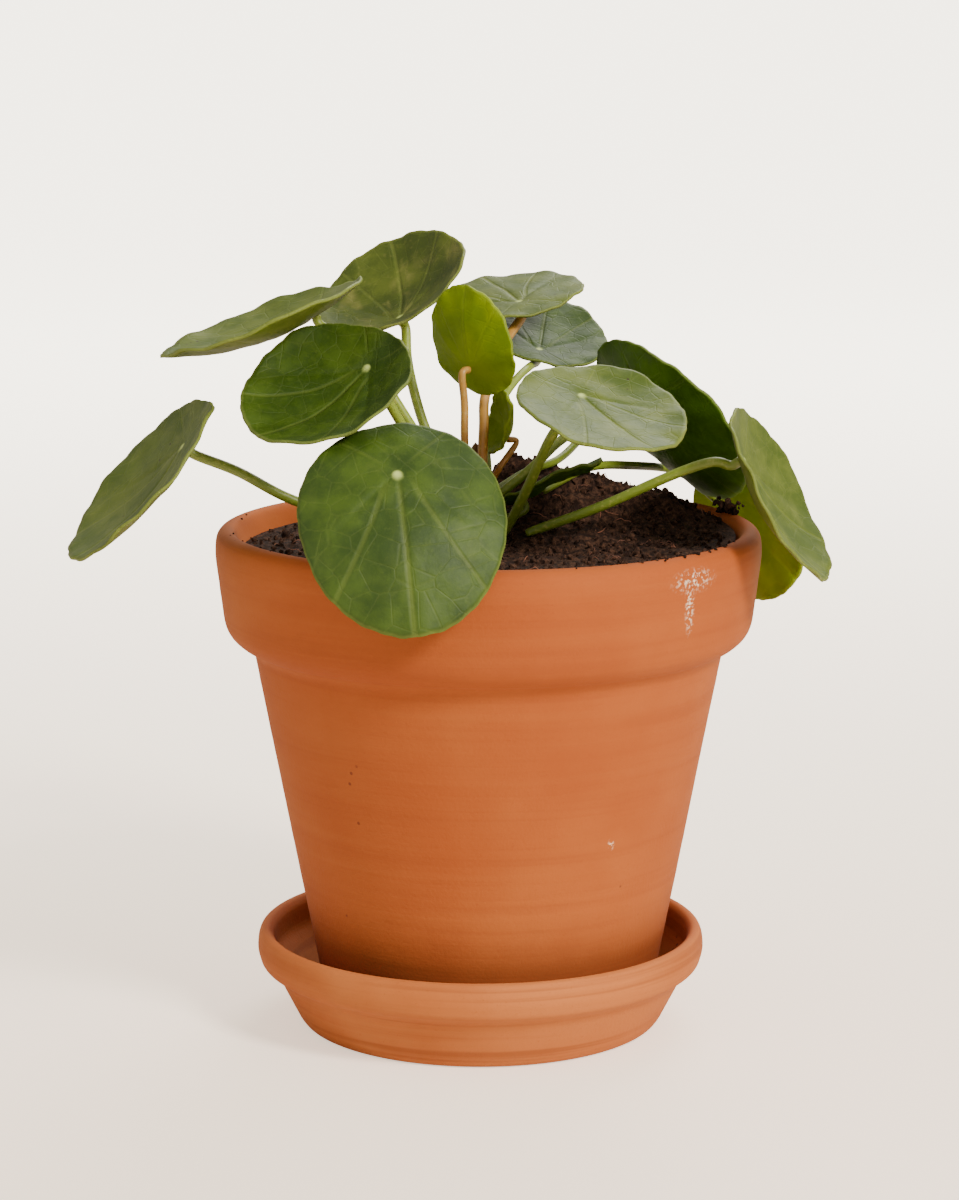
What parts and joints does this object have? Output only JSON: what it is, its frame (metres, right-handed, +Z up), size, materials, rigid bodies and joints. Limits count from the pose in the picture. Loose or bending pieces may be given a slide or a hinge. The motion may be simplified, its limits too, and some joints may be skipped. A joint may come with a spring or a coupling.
{
  "type": "potted pilea plant",
  "caption": "Round-leaved pilea house plant with long stalks, rooted in dark soil in a collared clay pot that stands on a clay saucer.",
  "frame": {"origin": "pot axis at the ground, under the saucer", "axes": "+Z up the pot; -Y is the front, where the largest leaf hangs over the rim; +X to the right seen from the front"},
  "size_m": [0.2333, 0.1916, 0.2472],
  "materials": {
    "saucer_clay": "matte, dry, pale tan earthenware",
    "pot_clay": "matte, dry, orange earthenware",
    "potting_soil": "rough, moist, fibrous",
    "stem_bark": "rough bark",
    "green_blade": "satin leaf skin",
    "lime_blade": "satin young leaf skin",
    "green_stalk": "satin",
    "reddish_stalk": "satin"
  },
  "bodies": {
    "root": {"saucer": "saucer_clay", "pot": "pot_clay", "soil": "potting_soil", "stem": "stem_bark", "bud": "lime_blade", "blade_front": "green_blade", "stalk_front": "green_stalk", "blade_left_front": "green_blade", "stalk_left_front": "green_stalk", "blade_far_left": "green_blade", "stalk_far_left": "green_stalk", "blade_upper_left": "green_blade", "stalk_upper_left": "green_stalk", "blade_top": "green_blade", "stalk_top": "green_stalk", "blade_lime": "lime_blade", "stalk_lime": "reddish_stalk", "blade_back_top": "green_blade", "stalk_back_top": "reddish_stalk", "blade_back_right": "green_blade", "stalk_back_right": "green_stalk", "blade_right_front": "green_blade", "stalk_right_front": "green_stalk", "blade_right_back": "green_blade", "stalk_right_back": "green_stalk", "blade_far_right": "green_blade", "stalk_far_right": "green_stalk", "blade_low_right": "lime_blade", "stalk_low_right": "green_stalk", "blade_low_dark": "green_blade", "stalk_low_dark": "green_stalk", "blade_young": "lime_blade", "stalk_young": "reddish_stalk", "blade_behind": "green_blade", "stalk_behind": "green_stalk"}
  },
  "joints": []
}
